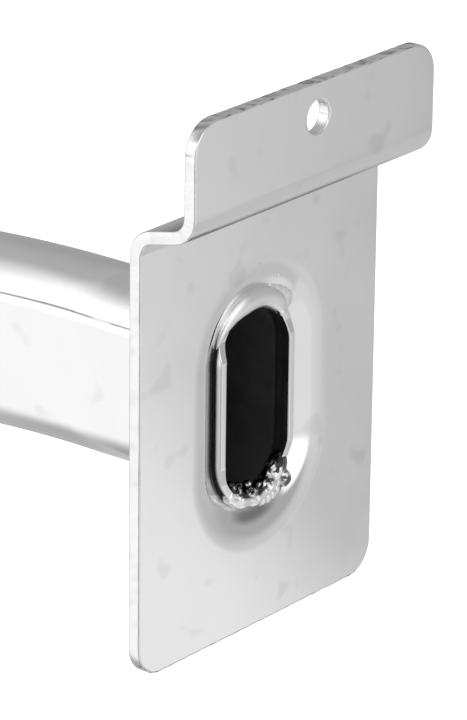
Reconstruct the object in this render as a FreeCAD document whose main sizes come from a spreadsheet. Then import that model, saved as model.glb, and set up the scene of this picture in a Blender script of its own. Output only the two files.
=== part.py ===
import FreeCAD, Part
import os
import re
from math import cos, sin, pi, radians
import Sketcher

# Slatwall garment rail: an oval tube bowed out to the front and welded at each end into a folded sheet bracket.
# Lengths are in millimetres and angles in degrees.
# The origin lies on the wall's front plane, midway between the brackets and level with the tube's centre.
# +X runs along the wall, to the right as seen from the room, +Y goes into the wall and +Z is up.

V = FreeCAD.Vector
doc = FreeCAD.newDocument("garment_rail")
sheet = doc.addObject("Spreadsheet::Sheet", "sizes")

# Driving dimensions
DRIVING = {
    "bracket_spacing": 580,       # between the centre lines of the two brackets
    "tube_tall": 30,
    "tube_wide": 15,
    "tube_wall": 1.2,
    "leg_straight": 31,           # wall plane to the start of the tube's first bend
    "side_radius": 110,           # centre line of the bend next to each bracket
    "side_turn": 30,              # how far that bend turns before the wide front bow takes over
    "plate_width": 55,
    "sheet_thickness": 2,
    "plate_drop": 35.4,           # tube centre down to the plate's bottom edge
    "plate_rise": 30,             # tube centre up to the start of the first fold
    "fold_radius": 2.5,           # inside radius of both folds
    "fold_turn": 78,
    "lip_offset": 9.8,            # back of the plate to the back of the tongue
    "tongue_length": 13.7,        # flat height of the tongue above the second fold
    "corner_radius": 5,
    "screw_hole": 5,
    "hole_below_top": 5.3,
    "dish_depth": 1.8,
    "dish_floor": 0.8,            # flat width round the collar
    "dish_slope": 4.4,            # width of the sloping part, seen square on
    "dish_round": 1.5,            # where the slope meets the plate and the floor
    "collar_wall": 1,
    "collar_recess": 0.4,         # the collar's top below the plate's back
    "collar_foot": 0.2,
    "slot_clearance": 0.1,        # all round the tube where it enters the slot
    "tube_entry": 1,              # depth of the tube's end inside the slot
    "weld_turn": 150,             # how far each weld runs round the slot's end
    "weld_spread": 0.5,           # the welds' centre lines outside the slot's wall
    "weld_recess": 0.1,           # the weld's top below the plate's back, so that the plate sits flat
    "weld_margin": 0.2,           # the weld's root short of the plate's front
}

# Sizes worked out from the driving ones
DERIVED = {
    "half_spacing": "bracket_spacing / 2",
    "front_radius": "side_radius + (half_spacing - side_radius) / cos(side_turn * 1deg)",
    "fold_size": "2 * fold_radius + sheet_thickness",
    "run_length": "(lip_offset - fold_size * (1 - cos(fold_turn * 1deg))) / sin(fold_turn * 1deg)",
    "fold_height": "fold_size * sin(fold_turn * 1deg) + run_length * cos(fold_turn * 1deg)",
    "hole_height": "plate_rise + fold_height + tongue_length - hole_below_top",
    "slot_straight": "tube_tall - tube_wide",
    "slot_radius": "tube_wide / 2 + slot_clearance",
    "collar_radius": "slot_radius + collar_wall",
    "collar_rise": "dish_depth - collar_recess",
    "floor_radius": "collar_radius + dish_floor",
    "rim_radius": "floor_radius + dish_slope",
    "half_slope": "atan(dish_depth / dish_slope) / 2 / 1deg",
    "front_shift": "sheet_thickness * tan(half_slope * 1deg)",
    "foot_room": "dish_floor - dish_round * tan(half_slope * 1deg)",
    "foot_radius": "min(collar_foot; 0.9 * foot_room)",
    "bump_depth": "dish_depth + sheet_thickness",
    "tube_end": "bump_depth - tube_entry",
    "weld_radius": "(bump_depth - weld_margin - weld_recess) / 2",
    "weld_depth": "weld_recess + weld_radius",
    "weld_ring": "slot_radius + weld_spread",
}

WORD = re.compile("[a-z]+(?:_[a-z]+)+")
NEAR = 0.001


def fill_sheet():
    """Writes each size in a row of its own, with its name beside it as the cell's alias."""
    row = 0
    for alias in list(DRIVING) + list(DERIVED):
        row += 1
        text = "=" + DERIVED[alias] if alias in DERIVED else str(DRIVING[alias])
        sheet.set("A%d" % row, alias)
        sheet.set("B%d" % row, text)
        sheet.setAlias("B%d" % row, alias)
    doc.recompute()


def size(alias):
    return float(sheet.get(alias))


def bind(thing, path, rule):
    """Ties a property to the sheet; each size in the rule is given by its alias."""
    thing.setExpression(path, WORD.sub(lambda word: "sizes." + word.group(), rule))


def measure(sketch, constraint, rule):
    """Adds a dimension to a sketch and ties it to the sheet."""
    index = sketch.addConstraint(constraint)
    bind(sketch, "Constraints[%d]" % index, rule)


def join(sketch, kind, pairs):
    """Adds one constraint of a kind for each pair of curve ends."""
    for one, other in pairs:
        sketch.addConstraint(Sketcher.Constraint(kind, *one, *other))


def new_body(name):
    body = doc.addObject("PartDesign::Body", name)
    body.Label = name
    return body


def new_sketch(body, name, role, depth="0"):
    """A sketch on one of the body's own origin planes, moved off it by a depth along the plane's normal."""
    sketch = body.newObject("Sketcher::SketchObject", name)
    plane = [item for item in body.Origin.OriginFeatures if item.Role == role][0]
    sketch.AttachmentSupport = [(plane, "")]
    sketch.MapMode = "FlatFace"
    bind(sketch, "AttachmentOffset.Base.z", depth)
    return sketch


def add_line(sketch, start, end):
    return sketch.addGeometry(Part.LineSegment(V(*start, 0), V(*end, 0)), False)


def add_arc(sketch, centre, radius, start, end):
    """An arc that runs anticlockwise between two angles in radians."""
    return sketch.addGeometry(Part.ArcOfCircle(Part.Circle(V(*centre, 0), V(0, 0, 1), radius), start, end), False)


def add_oval(sketch, radius, rule):
    """An upright flat-sided oval centred on the sketch's origin, as tall as the tube needs."""
    half = size("slot_straight") / 2
    top = add_arc(sketch, (0, half), radius, 0, pi)
    left = add_line(sketch, (-radius, half), (-radius, -half))
    bottom = add_arc(sketch, (0, -half), radius, pi, 2 * pi)
    right = add_line(sketch, (radius, -half), (radius, half))
    ring = [top, left, bottom, right]
    join(sketch, "Tangent", [((one, 2), (other, 1)) for one, other in zip(ring, ring[1:] + ring[:1])])
    sketch.addConstraint(Sketcher.Constraint("Vertical", left))
    sketch.addConstraint(Sketcher.Constraint("PointOnObject", top, 3, -2))
    sketch.addConstraint(Sketcher.Constraint("Symmetric", top, 3, bottom, 3, -1, 1))
    measure(sketch, Sketcher.Constraint("Distance", left, 2 * half), "slot_straight")
    measure(sketch, Sketcher.Constraint("Radius", top, radius), rule)


def edges_where(shape, test):
    return ["Edge%d" % (index + 1) for index, edge in enumerate(shape.Edges) if test(edge)]


def oval_edges(shape, depth, radius):
    """The edges of one flat-sided oval, found by the four points where its ends meet its sides."""
    half = size("slot_straight") / 2

    def at_joint(point):
        return abs(point.y + depth) < NEAR and abs(abs(point.x) - radius) < NEAR and abs(abs(point.z) - half) < NEAR

    return edges_where(shape, lambda edge: all(at_joint(vertex.Point) for vertex in edge.Vertexes))


def add_round(body, name, base, edges, rule):
    fillet = body.newObject("PartDesign::Fillet", name)
    fillet.Base = (base, edges)
    bind(fillet, "Radius", rule)
    doc.recompute()
    return fillet


# The tube, one length bent in plan: a straight leg, a side bend, the wide front bow, and the same back again
def make_tube():
    body = new_body("rail_tube")
    reach = size("half_spacing")
    leg = size("leg_straight")
    end = size("tube_end")
    side = size("side_radius")
    front = size("front_radius")
    turn = radians(size("side_turn"))
    side_x = reach - side
    bow_y = (front - side) * sin(turn) - leg

    path = new_sketch(body, "tube_path", "XY_Plane")
    left_leg = add_line(path, (-reach, -end), (-reach, -leg))
    left_bend = add_arc(path, (-side_x, -leg), side, pi, pi + turn)
    bow = add_arc(path, (0, bow_y), front, pi + turn, 2 * pi - turn)
    right_bend = add_arc(path, (side_x, -leg), side, 2 * pi - turn, 2 * pi)
    right_leg = add_line(path, (reach, -leg), (reach, -end))
    run = [left_leg, left_bend, bow, right_bend, right_leg]
    join(path, "Tangent", [((one, 2), (other, 1)) for one, other in zip(run, run[1:])])
    path.addConstraint(Sketcher.Constraint("Vertical", left_leg))
    path.addConstraint(Sketcher.Constraint("Symmetric", left_leg, 1, right_leg, 2, -2))
    path.addConstraint(Sketcher.Constraint("Symmetric", left_bend, 3, right_bend, 3, -2))
    measure(path, Sketcher.Constraint("DistanceX", left_leg, 1, -1, 1, reach), "half_spacing")
    measure(path, Sketcher.Constraint("DistanceY", left_leg, 1, -1, 1, end), "tube_end")
    measure(path, Sketcher.Constraint("DistanceY", left_leg, 2, -1, 1, leg), "leg_straight")
    measure(path, Sketcher.Constraint("Radius", left_bend, side), "side_radius")
    measure(path, Sketcher.Constraint("Radius", right_bend, side), "side_radius")
    measure(path, Sketcher.Constraint("Radius", bow, front), "front_radius")

    section = new_sketch(body, "tube_section", "XZ_Plane", "tube_end")
    bind(section, "AttachmentOffset.Base.x", "-half_spacing")
    add_oval(section, size("tube_wide") / 2, "tube_wide / 2")
    add_oval(section, size("tube_wide") / 2 - size("tube_wall"), "tube_wide / 2 - tube_wall")
    doc.recompute()

    pipe = body.newObject("PartDesign::AdditivePipe", "tube")
    pipe.Profile = section
    pipe.Spine = (path, ["Edge%d" % (index + 1) for index in range(len(run))])
    doc.recompute()
    return body


# The bracket's side outline: plate, fold back into the wall, run, fold up, tongue
def add_fold_outline(sketch):
    drop = size("plate_drop")
    rise = size("plate_rise")
    inner = size("fold_radius")
    thick = size("sheet_thickness")
    outer = inner + thick
    lip = size("lip_offset")
    turn = radians(size("fold_turn"))
    low = (inner, rise)
    high = (lip - outer, rise + size("fold_height"))
    top = high[1] + size("tongue_length")

    def on_low(radius):
        return (low[0] - radius * cos(turn), low[1] + radius * sin(turn))

    def on_high(radius):
        return (high[0] + radius * cos(turn), high[1] - radius * sin(turn))

    plate_back = add_line(sketch, (0, -drop), (0, rise))
    low_inner = add_arc(sketch, low, inner, pi - turn, pi)
    run_under = add_line(sketch, on_low(inner), on_high(outer))
    high_outer = add_arc(sketch, high, outer, -turn, 0)
    tongue_back = add_line(sketch, (lip, high[1]), (lip, top))
    tongue_top = add_line(sketch, (lip, top), (lip - thick, top))
    tongue_front = add_line(sketch, (lip - thick, top), (lip - thick, high[1]))
    high_inner = add_arc(sketch, high, inner, -turn, 0)
    run_over = add_line(sketch, on_high(inner), on_low(outer))
    low_outer = add_arc(sketch, low, outer, pi - turn, pi)
    plate_front = add_line(sketch, (-thick, rise), (-thick, -drop))
    plate_foot = add_line(sketch, (-thick, -drop), (0, -drop))

    join(sketch, "Tangent", [
        ((plate_back, 2), (low_inner, 2)), ((low_inner, 1), (run_under, 1)),
        ((run_under, 2), (high_outer, 1)), ((high_outer, 2), (tongue_back, 1)),
        ((tongue_front, 2), (high_inner, 2)), ((high_inner, 1), (run_over, 1)),
        ((run_over, 2), (low_outer, 1)), ((low_outer, 2), (plate_front, 1)),
    ])
    join(sketch, "Coincident", [
        ((tongue_back, 2), (tongue_top, 1)), ((tongue_top, 2), (tongue_front, 1)),
        ((plate_front, 2), (plate_foot, 1)), ((plate_foot, 2), (plate_back, 1)),
        ((low_inner, 3), (low_outer, 3)), ((high_inner, 3), (high_outer, 3)),
    ])
    for line in (plate_back, tongue_back, tongue_front, plate_front):
        sketch.addConstraint(Sketcher.Constraint("Vertical", line))
    for line in (tongue_top, plate_foot):
        sketch.addConstraint(Sketcher.Constraint("Horizontal", line))
        measure(sketch, Sketcher.Constraint("Distance", line, thick), "sheet_thickness")
    sketch.addConstraint(Sketcher.Constraint("PointOnObject", plate_back, 1, -2))
    measure(sketch, Sketcher.Constraint("DistanceY", plate_back, 1, -1, 1, drop), "plate_drop")
    measure(sketch, Sketcher.Constraint("DistanceY", -1, 1, plate_back, 2, rise), "plate_rise")
    measure(sketch, Sketcher.Constraint("Radius", low_inner, inner), "fold_radius")
    measure(sketch, Sketcher.Constraint("Radius", high_inner, inner), "fold_radius")
    measure(sketch, Sketcher.Constraint("Angle", run_under, pi / 2 - turn), "(90 - fold_turn) * 1deg")
    measure(sketch, Sketcher.Constraint("DistanceX", -1, 1, tongue_back, 1, lip), "lip_offset")
    measure(sketch, Sketcher.Constraint("Distance", tongue_back, size("tongue_length")), "tongue_length")


def add_loft(body, kind, name, wide_depth, wide_radius, deep_depth, deep_radius):
    """A tapered oval between two depths in front of the wall plane, added to the body or taken from it."""
    wide = new_sketch(body, name + "_wide", "XZ_Plane", wide_depth)
    add_oval(wide, size("rim_radius"), wide_radius)
    deep = new_sketch(body, name + "_deep", "XZ_Plane", deep_depth)
    add_oval(deep, size("floor_radius"), deep_radius)
    doc.recompute()
    loft = body.newObject(kind, name)
    loft.Profile = wide
    loft.Sections = [deep]
    loft.Ruled = True
    doc.recompute()


def make_bracket(name, side):
    body = new_body(name)
    strip = new_sketch(body, name + "_outline", "YZ_Plane")
    add_fold_outline(strip)
    doc.recompute()
    pad = body.newObject("PartDesign::Pad", name + "_strip")
    pad.Profile = strip
    pad.Midplane = True
    bind(pad, "Length", "plate_width")
    doc.recompute()

    # Rounded corners at the plate's foot and the tongue's top
    box = pad.Shape.BoundBox

    def is_corner(edge):
        spans_sheet = edge.BoundBox.XLength + edge.BoundBox.ZLength < NEAR
        at_end = min(abs(edge.CenterOfMass.z - box.ZMin), abs(edge.CenterOfMass.z - box.ZMax)) < NEAR
        return spans_sheet and at_end

    add_round(body, name + "_corners", pad, edges_where(pad.Shape, is_corner), "corner_radius")

    # Hole in the tongue
    spot = new_sketch(body, name + "_hole_spot", "XZ_Plane")
    ring = spot.addGeometry(Part.Circle(V(0, size("hole_height"), 0), V(0, 0, 1), size("screw_hole") / 2), False)
    spot.addConstraint(Sketcher.Constraint("PointOnObject", ring, 3, -2))
    measure(spot, Sketcher.Constraint("DistanceY", -1, 1, ring, 3, size("hole_height")), "hole_height")
    measure(spot, Sketcher.Constraint("Diameter", ring, size("screw_hole")), "screw_hole")
    doc.recompute()
    hole = body.newObject("PartDesign::Pocket", name + "_hole")
    hole.Profile = spot
    hole.Midplane = True
    bind(hole, "Length", "4 * lip_offset")
    doc.recompute()

    # Dish pressed into the plate round the slot: a bump on the front and a hollow of the same depth behind
    add_loft(body, "PartDesign::AdditiveLoft", name + "_bump",
             "sheet_thickness", "rim_radius + front_shift", "bump_depth", "floor_radius + front_shift")
    add_loft(body, "PartDesign::SubtractiveLoft", name + "_hollow",
             "0", "rim_radius", "dish_depth", "floor_radius")

    # Collar drawn up from the dish's floor, and the slot through it
    lip = new_sketch(body, name + "_collar_outline", "XZ_Plane", "dish_depth")
    add_oval(lip, size("collar_radius"), "collar_radius")
    doc.recompute()
    collar = body.newObject("PartDesign::Pad", name + "_collar")
    collar.Profile = lip
    collar.Reversed = True
    bind(collar, "Length", "collar_rise")
    doc.recompute()
    mouth = new_sketch(body, name + "_slot_outline", "XZ_Plane")
    add_oval(mouth, size("slot_radius"), "slot_radius")
    doc.recompute()
    slot = body.newObject("PartDesign::Pocket", name + "_slot")
    slot.Profile = mouth
    slot.Midplane = True
    bind(slot, "Length", "4 * bump_depth")
    doc.recompute()

    # Soft bends where the dish's slope meets the plate and the floor, and at the collar's foot
    shift = size("front_shift")
    bends = oval_edges(slot.Shape, 0, size("rim_radius"))
    bends += oval_edges(slot.Shape, size("dish_depth"), size("floor_radius"))
    bends += oval_edges(slot.Shape, size("sheet_thickness"), size("rim_radius") + shift)
    bends += oval_edges(slot.Shape, size("bump_depth"), size("floor_radius") + shift)
    soft = add_round(body, name + "_dish_bends", slot, bends, "dish_round")
    foot = oval_edges(soft.Shape, size("dish_depth"), size("collar_radius"))
    add_round(body, name + "_collar_foot", soft, foot, "foot_radius")

    bind(body, "Placement.Base.x", side + "half_spacing")
    doc.recompute()
    return body


# A weld round one end of the slot: a bead cut to the bracket and the tube that it joins
def make_weld(name, side, up, bracket, rail):
    middle_x = side + "half_spacing"
    middle_z = "%s slot_straight / 2" % up
    bead = doc.addObject("Part::Torus", name + "_bead")
    bind(bead, "Radius1", "weld_ring")
    bind(bead, "Radius2", "weld_radius")
    bind(bead, "Angle3", "weld_turn")
    place = "placement(vector(%s; -weld_depth; %s); rotation(vector(1; 0; 0); 90) * rotation(vector(0; 0; 1); %s))"
    start = "%s 90 - weld_turn / 2" % up
    bind(bead, "Placement", place % (middle_x, middle_z, start))
    seat = doc.addObject("Part::Cut", name + "_on_bracket")
    seat.Base = bead
    seat.Tool = bracket
    weld = doc.addObject("Part::Cut", name)
    weld.Label = name
    weld.Base = seat
    weld.Tool = rail
    doc.recompute()
    return weld


# The whole rail
fill_sheet()
nodes = [make_tube()]
for hand, side in (("left", "-"), ("right", "+")):
    bracket = make_bracket(hand + "_bracket", side)
    nodes.append(bracket)
    nodes.append(make_weld(hand + "_top_weld", side, "+", bracket, nodes[0]))
    nodes.append(make_weld(hand + "_bottom_weld", side, "-", bracket, nodes[0]))

for thing in doc.Objects:
    if "Invalid" in thing.State or "Error" in thing.State:
        raise ValueError("%s was not made: %s" % (thing.Label, thing.State))
for node in nodes:
    if node.Shape.isNull() or not node.Shape.isValid() or len(node.Shape.Solids) != 1:
        raise ValueError("%s is not one sound solid" % node.Label)

os.makedirs("parts", exist_ok=True)
for node in nodes:
    node.Shape.exportStep("parts/%s.step" % node.Label)
    print("%s: %.2f mm3" % (node.Label, node.Shape.Volume))
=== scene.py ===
from math import atan, atan2, cos, pi, radians, sin, tan

import bmesh
import bpy
from mathutils import Matrix, Quaternion, Vector, noise


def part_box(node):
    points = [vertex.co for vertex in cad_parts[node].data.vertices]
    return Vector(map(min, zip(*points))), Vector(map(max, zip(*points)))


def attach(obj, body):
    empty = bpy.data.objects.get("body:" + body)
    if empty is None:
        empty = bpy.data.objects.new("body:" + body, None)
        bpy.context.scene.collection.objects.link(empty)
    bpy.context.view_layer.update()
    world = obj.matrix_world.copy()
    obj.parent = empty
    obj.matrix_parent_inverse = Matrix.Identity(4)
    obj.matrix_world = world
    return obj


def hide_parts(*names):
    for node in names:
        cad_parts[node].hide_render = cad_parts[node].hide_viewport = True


# Slatwall garment rail, seen from behind the wall: chromed oval tube welded into folded sheet brackets.
# Lengths are in metres. +X runs along the wall, +Y goes into the wall and +Z is up.

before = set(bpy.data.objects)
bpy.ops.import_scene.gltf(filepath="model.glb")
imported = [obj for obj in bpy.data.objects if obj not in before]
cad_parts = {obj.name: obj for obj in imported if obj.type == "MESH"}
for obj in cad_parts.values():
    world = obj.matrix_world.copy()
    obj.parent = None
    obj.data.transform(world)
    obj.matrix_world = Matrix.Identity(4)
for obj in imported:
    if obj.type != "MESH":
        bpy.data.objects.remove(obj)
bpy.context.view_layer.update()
MM = 0.001

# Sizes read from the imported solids
left_low, left_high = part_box("left_bracket")
right_low, right_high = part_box("right_bracket")
HALF_SPACING = (right_low.x + right_high.x) / 2
HALF_WIDTH = (left_high.x - left_low.x) / 2
PLATE_FOOT = left_low.z
TONGUE_TOP = left_high.z
LIP = left_high.y
BUMP_FRONT = left_low.y
BRACKETS = (("left", -HALF_SPACING), ("right", HALF_SPACING))

# The bracket's sheet
SHEET = 2 * MM
FOLD_RADIUS = 2.5 * MM
FOLD_TURN = radians(78)
PLATE_RISE = 30 * MM
CORNER = 5 * MM
HOLE_RADIUS = 2.5 * MM
HOLE_BELOW_TOP = 5.3 * MM
EDGE_ROUND = 0.25 * MM

# The dish, its collar and the slot. The collar's inner edge is a lip that stands a little into the slot,
# and the wall of the slot is bare.
HALF_STRAIGHT = 7.5 * MM
SLOT_RADIUS = 7.6 * MM
LIP_RADIUS = 7.3 * MM
LIP_DEPTH = 1 * MM
LIP_SLOPE_END = 1.6 * MM
COLLAR_RADIUS = 8.6 * MM
COLLAR_TOP = -0.4 * MM
COLLAR_FOOT = 0.06 * MM
COLLAR_LIP = 0.2 * MM
FLOOR_RADIUS = 9.15 * MM
RIM_RADIUS = 13.1 * MM
DISH_DEPTH = 1.8 * MM
FLOOR_ROUND = 0.8 * MM
RIM_ROUND = 8 * MM
BUMP_ROUND = 3 * MM
FLAT_RADIUS = 15.5 * MM
BARE_RADIUS = SLOT_RADIUS + 0.05 * MM
BARE_BELOW = COLLAR_TOP - 0.9 * COLLAR_LIP

# The collar is melted down under the welds, most of all at the +X side of the top one
MELT_START = 8.5 * MM
MELT_RUN = 2.5 * MM
MELT_SHARE = 0.3
DEEP_MELT = 0.8
DEEP_FROM = 3 * MM

# The welds are rough near the slot and on one side: the top one at +X, the bottom one at -X
SMOOTH_FROM = 7.7 * MM
ROUGH_SIDE = 5.4 * MM
SIDE_FADE = 0.8 * MM

# The tube and the bends of its path
TUBE_WIDE = 15 * MM
TUBE_WALL = 1.2 * MM
TUBE_END = 2.8 * MM
LEG_STRAIGHT = 31 * MM
SIDE_RADIUS = 110 * MM
SIDE_TURN = radians(30)
FRONT_RADIUS = SIDE_RADIUS + (HALF_SPACING - SIDE_RADIUS) / cos(SIDE_TURN)
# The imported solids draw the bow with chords, so a true arc stands out by less than this
BOW_INSET = 0.07 * MM

# Points closer than this are one point
SAME_POINT = 0.0005 * MM


# Node wiring shared by the materials, the world and the geometry trees
class Wiring:
    """Adds nodes to one tree and links them."""

    def __init__(self, tree):
        self.tree = tree

    def add(self, kind, inputs=None, **settings):
        node = self.tree.nodes.new(kind)
        for name, value in settings.items():
            setattr(node, name, value)
        for key, value in (inputs or {}).items():
            if isinstance(value, bpy.types.NodeSocket):
                self.link(value, node.inputs[key])
            else:
                node.inputs[key].default_value = value
        return node

    def out(self, kind, inputs=None, **settings):
        """Adds a node and gives its first output."""
        return self.add(kind, inputs, **settings).outputs[0]

    def link(self, one, other):
        self.tree.links.new(one, other)

    def math(self, operation, *values):
        return self.out("ShaderNodeMath", dict(enumerate(values)), operation=operation)

    def times(self, *values):
        return self.math("MULTIPLY", *values)

    def span(self, value, low, high, start=0.0, end=1.0):
        """Runs smoothly from start to end as the value goes from low to high."""
        inputs = {"Value": value, "From Min": low, "From Max": high, "To Min": start, "To Max": end}
        return self.out("ShaderNodeMapRange", inputs, interpolation_type="SMOOTHSTEP")

    def mix(self, share, one, other):
        return self.out("ShaderNodeMix", {0: share, 2: one, 3: other}, data_type="FLOAT")

    def noise(self, vector, scale, detail=2.0, rough=0.5):
        inputs = {"Vector": vector, "Scale": scale, "Detail": detail, "Roughness": rough}
        return self.out("ShaderNodeTexNoise", inputs)

    def parts(self, vector):
        return self.add("ShaderNodeSeparateXYZ", {0: vector}).outputs

    def grey(self, level):
        return self.out("ShaderNodeCombineColor", {"Red": level, "Green": level, "Blue": level})

    def mirrored(self):
        """1 for rays that come off metal or through glass."""
        rays = self.add("ShaderNodeLightPath").outputs
        return rays, self.math("MAXIMUM", rays["Is Glossy Ray"], rays["Is Transmission Ray"])


def new_object(name, data):
    made = bpy.data.objects.new(name, data)
    bpy.context.scene.collection.objects.link(made)
    return made


def cleared(owner):
    """The wiring of a material or a world, without its first nodes."""
    owner.use_nodes = True
    owner.node_tree.nodes.clear()
    return Wiring(owner.node_tree)


# Patterns of the finishes. Scales are in cells per metre, and ranges are of the pattern's own value.
# A tone is a share of the plating's own, and a shade stands in its place.
SMUDGE_SCALE = 70
SMUDGE_RANGE = (0.3, 0.7)
SMUDGE_TONES = (0.975, 1.01)
ROUGHER_RANGE = (0.35, 0.75)
ROUGHER = 1.7
BLOTCH_SCALE = 170
BLOTCH_RANGE = (0.62, 0.74)
BLOTCH_TONE = 0.9
GRAIN_SCALE = 900
GRAIN_SHARE = 0.02
SPECK_SCALE = 110
SPECK_CORE = 0.4
SPECK_KEPT = 0.8
SPECK_TONE = 0.6
SPECK_ROUGH = 0.45
# Darkest shade and roughness of worn plating, and of the painted shade in hollows, creases and under the
# bottom weld
STAIN_AND_PAINTED_SHADE = 0.03
STAIN_AND_SHADE_ROUGH = 0.3
DULL_RADIUS = 14.2 * MM
DULL_RANGE = (0.5 * MM, 1.8 * MM)
RIM_ROUGH = 0.28
BURNT_SCALE = 900
BLOT_SCALE = 350
BLOT_SHARE = 0.5
BURNT_RANGE = (0.62, 0.76)
BURNT_SHADE = 0.06
BURNT_FADE = 0.4 * MM
BURNT_ASIDE = 0.9
BURNT_MORE = 0.06
STEEL_SCALE = 180
STEEL_RANGE = (0.3, 0.7)
# Near-black shades: painted shade inside the bore and the slot
STEEL_SHADOW_SHADES = (0.006, 0.016)
STEEL_ROUGH = (0.45, 0.7)
STEEL_SPECULAR = 0.1
STEEL_PAINTED_GLOW = 0.003
STEEL_BUMP = 0.1 * MM
STEEL_STRENGTH = 0.6


def new_material(name):
    material = bpy.data.materials.new(name)
    material.use_nodes = True
    wires = Wiring(material.node_tree)
    shader = material.node_tree.nodes["Principled BSDF"]
    place = wires.add("ShaderNodeTexCoord").outputs["Object"]
    return material, wires, shader, place


def paint(wires, shader, shade, rough, height, depth, strength):
    """Sets the tone, the roughness and the bumps of a finish."""
    bump = wires.out("ShaderNodeBump", {"Height": height, "Distance": depth, "Strength": strength})
    wires.link(wires.grey(shade), shader.inputs["Base Color"])
    wires.link(rough, shader.inputs["Roughness"])
    wires.link(bump, shader.inputs["Normal"])


def slot_distance(wires, place):
    """How far a place is across from the nearer slot's middle, and how far out from its middle line."""
    spot = wires.parts(place)
    side = wires.math("SIGN", spot[0])
    across = wires.math("SUBTRACT", spot[0], wires.times(side, HALF_SPACING))
    along = wires.math("SUBTRACT", wires.math("ABSOLUTE", spot[2]), HALF_STRAIGHT)
    along = wires.math("MAXIMUM", along, 0.0)
    out = wires.math("ADD", wires.times(across, across), wires.times(along, along))
    return across, wires.math("SQRT", out)


def smudged(wires, place, tone, gloss):
    """Shade and roughness of plating with faint smudges and a few larger blotches."""
    smudge = wires.noise(place, SMUDGE_SCALE, 3)
    shade = wires.span(smudge, *SMUDGE_RANGE, tone * SMUDGE_TONES[0], tone * SMUDGE_TONES[1])
    rough = wires.span(smudge, *ROUGHER_RANGE, gloss, gloss * ROUGHER)
    blotch = wires.span(wires.noise(place, BLOTCH_SCALE, 1), *BLOTCH_RANGE)
    return wires.mix(blotch, shade, tone * BLOTCH_TONE), rough


def specked(wires, place, tone, size, shade, rough):
    """Adds a dark speck here and there."""
    cells = wires.add("ShaderNodeTexVoronoi", {"Vector": place, "Scale": SPECK_SCALE})
    speck = wires.span(cells.outputs["Distance"], size * SPECK_CORE, size, 1.0, 0.0)
    centre = cells.outputs["Position"]
    draw = wires.add("ShaderNodeTexWhiteNoise", {"Vector": centre}, noise_dimensions="3D").outputs["Value"]
    speck = wires.times(speck, wires.math("GREATER_THAN", draw, SPECK_KEPT))
    return wires.mix(speck, shade, tone * SPECK_TONE), wires.mix(speck, rough, SPECK_ROUGH)


def darkened_by_stain_and_shade(wires, place, shade, rough):
    """Darkens and dulls the plating by its stain-and-shade attribute, which holds worn spots of the sheared
    edge and painted shade at the collar's foot, under the bottom weld and in the upper fold, and dulls it a
    little where the press drew the rim of the dish.
    """
    stain_and_shade = wires.add("ShaderNodeAttribute", attribute_name="stain_and_shade").outputs["Fac"]
    shade = wires.mix(stain_and_shade, shade, STAIN_AND_PAINTED_SHADE)
    rough = wires.mix(stain_and_shade, rough, STAIN_AND_SHADE_ROUGH)
    out = slot_distance(wires, place)[1]
    from_rim = wires.math("ABSOLUTE", wires.math("SUBTRACT", out, DULL_RADIUS))
    rim = wires.span(from_rim, *DULL_RANGE, 1.0, 0.0)
    return shade, wires.mix(rim, rough, RIM_ROUGH)


def scorched(wires, place, shade):
    """Burns black spots into a rough weld, near the slot and on its -X side."""
    spots = wires.noise(place, BURNT_SCALE, 2)
    blots = wires.noise(place, BLOT_SCALE, 2)
    across, out = slot_distance(wires, place)
    inner = wires.span(out, SMOOTH_FROM - BURNT_FADE, SMOOTH_FROM, 1.0, 0.0)
    aside = wires.span(across, -ROUGH_SIDE - SIDE_FADE, -ROUGH_SIDE, BURNT_ASIDE, 0.0)
    spots = wires.math("ADD", spots, wires.times(aside, BURNT_MORE))
    burnt = wires.span(wires.math("ADD", spots, wires.times(blots, BLOT_SHARE)), *BURNT_RANGE)
    burnt = wires.times(burnt, wires.math("MAXIMUM", inner, aside))
    return wires.mix(burnt, shade, BURNT_SHADE)


def chrome_finish(name, tone, gloss, ripple_scale, ripple, speck_size=0.0, stained_and_shaded=False, pitted=False):
    """Bright plating with a slight ripple, and where asked with specks, stains and painted shade, or burnt
    spots.
    """
    material, wires, shader, place = new_material(name)
    shade, rough = smudged(wires, place, tone, gloss)
    if speck_size:
        shade, rough = specked(wires, place, tone, speck_size, shade, rough)
    if stained_and_shaded:
        shade, rough = darkened_by_stain_and_shade(wires, place, shade, rough)
    if pitted:
        shade = scorched(wires, place, shade)
    shader.inputs["Metallic"].default_value = 1.0
    wave = wires.noise(place, ripple_scale, 2)
    grain = wires.noise(place, GRAIN_SCALE, 2)
    height = wires.math("ADD", wave, wires.times(grain, GRAIN_SHARE))
    paint(wires, shader, shade, rough, height, ripple, 1.0)
    return material


def bare_finish(name):
    """Unplated steel in the tube's bore and the slot: dull and a little patchy, darkened near black as
    painted shade of the bore and the slot, with a faint painted glow.
    """
    material, wires, shader, place = new_material(name)
    patches = wires.noise(place, STEEL_SCALE, 4, 0.6)
    shade = wires.span(patches, *STEEL_RANGE, *STEEL_SHADOW_SHADES)
    rough = wires.span(patches, *STEEL_RANGE, *STEEL_ROUGH)
    shader.inputs["Specular IOR Level"].default_value = STEEL_SPECULAR
    # Painted glow: a faint emission stands in for the little light inside the bore and the slot
    shader.inputs["Emission Color"].default_value = (1, 1, 1, 1)
    shader.inputs["Emission Strength"].default_value = STEEL_PAINTED_GLOW
    paint(wires, shader, shade, rough, patches, STEEL_BUMP, STEEL_STRENGTH)
    return material


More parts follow.
